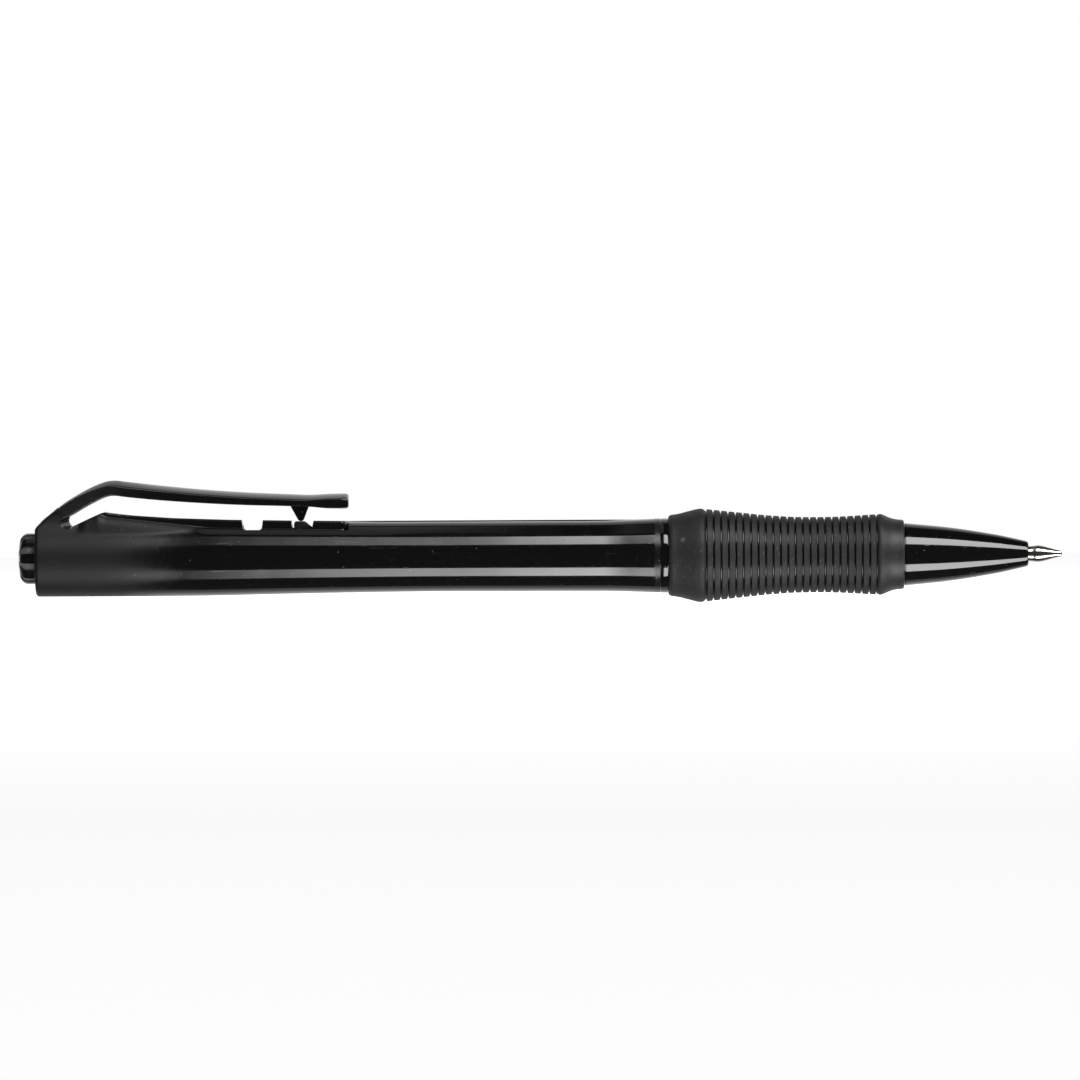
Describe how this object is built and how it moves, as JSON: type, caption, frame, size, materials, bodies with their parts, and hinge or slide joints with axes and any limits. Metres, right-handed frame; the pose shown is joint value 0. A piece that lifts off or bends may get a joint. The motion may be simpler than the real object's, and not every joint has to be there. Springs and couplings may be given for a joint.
{
  "type": "retractable ballpoint pen",
  "caption": "Retractable ballpoint pen with a push button, a clip that releases the point, and a ribbed rubber grip.",
  "frame": {"origin": "centre of the bounding box in plan, at its base: the pen's axis is 6.5 mm above it, because the grip's widest ring touches the ground", "axes": "+X along the pen towards the writing tip, +Z towards the clip, +Y across"},
  "size_m": [0.145, 0.013, 0.0173],
  "materials": {
    "black_barrel": "glossy, softly worn",
    "black_clip": "glossy",
    "black_button": "satin ribs with rougher grooves",
    "black_nose": "glossy",
    "black_inner": "satin",
    "clear_tube": "milky clear",
    "ink": "wet, dark",
    "brass": "turned",
    "nib_steel": "polished",
    "spring_steel": "drawn wire",
    "grip_rubber": "matte"
  },
  "bodies": {
    "barrel": {"rear_barrel": "black_barrel", "return_spring": "spring_steel"},
    "plunger": {"plunger": "black_inner", "push_button": "black_button", "refill_tube": "clear_tube", "ink_column": "ink", "tip_holder": "brass", "nib": "nib_steel"},
    "ball": {"writing_ball": "nib_steel"},
    "latch": {"latch_finger": "black_inner"},
    "clip_root": {"clip_root": "black_clip"},
    "clip_arm": {"clip_arm": "black_clip"},
    "front": {"front_section": "black_nose", "rubber_grip": "grip_rubber"}
  },
  "joints": [
    {"name": "plunger_slide", "type": "slide", "parent": "barrel", "child": "plunger", "axis": [1, 0, 0], "range_m": [-0.007, 0], "deforming": ["return_spring", "latch_finger"]},
    {"name": "ball_roll", "type": "hinge", "parent": "plunger", "child": "ball", "pos_m": [0.07215, 0, 0.0065], "axis": [0, 1, 0], "continuous": true},
    {"name": "clip_lift", "type": "hinge", "parent": "barrel", "child": "clip_root", "pos_m": [-0.0667, 0, 0.0127], "axis": [0, -1, 0], "range_deg": [0, 5], "stiffness_Nm_per_rad": 1.4},
    {"name": "clip_press", "type": "hinge", "parent": "clip_root", "child": "clip_arm", "pos_m": [-0.0592, 0, 0.01622], "axis": [0, 1, 0], "range_deg": [0, 2.2], "stiffness_Nm_per_rad": 1.5},
    {"name": "latch_flex", "type": "hinge", "parent": "plunger", "child": "latch", "pos_m": [-0.0465, 0, 0.00983], "axis": [0, 1, 0], "range_deg": [0, 4.4]},
    {"name": "front_unscrew", "type": "slide", "parent": "barrel", "child": "front", "axis": [1, 0, 0], "range_m": [0, 0.06]}
  ],
  "couplings": [
    {"joint": "latch_flex", "follows": "clip_press", "ratio": 2}
  ]
}
